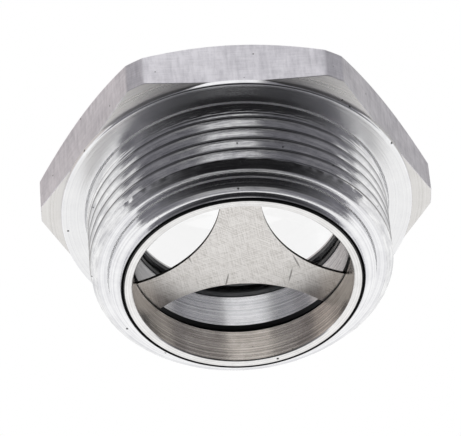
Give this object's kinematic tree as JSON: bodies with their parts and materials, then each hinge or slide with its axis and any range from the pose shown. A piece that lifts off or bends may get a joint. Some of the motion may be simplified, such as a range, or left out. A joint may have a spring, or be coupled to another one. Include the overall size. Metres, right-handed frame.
{
  "type": "oil level sight glass",
  "caption": "Aluminium hexagonal oil level sight glass for a threaded tank port, with a glass window, a rubber seal and a star-shaped reflector held by a pressed ring.",
  "frame": {"origin": "centre of the seating face, on the thread's axis", "axes": "+Z along the thread axis, out of the tank towards the window side of the hexagon; Y square to a pair of flats, X towards a pair of corners"},
  "size_m": [0.0618, 0.0556, 0.0261],
  "materials": {
    "turned_aluminium": "turned, bright",
    "sheet_aluminium": "rolled sheet, matt with fine scratches",
    "black_rubber": "smooth moulded nitrile rubber",
    "clear_glass": "polished float glass"
  },
  "bodies": {
    "root": {"body": "turned_aluminium", "window_seal": "black_rubber", "glass_disc": "clear_glass", "spacer_ring": "turned_aluminium", "reflector": "sheet_aluminium", "retaining_ring": "turned_aluminium"}
  },
  "joints": []
}
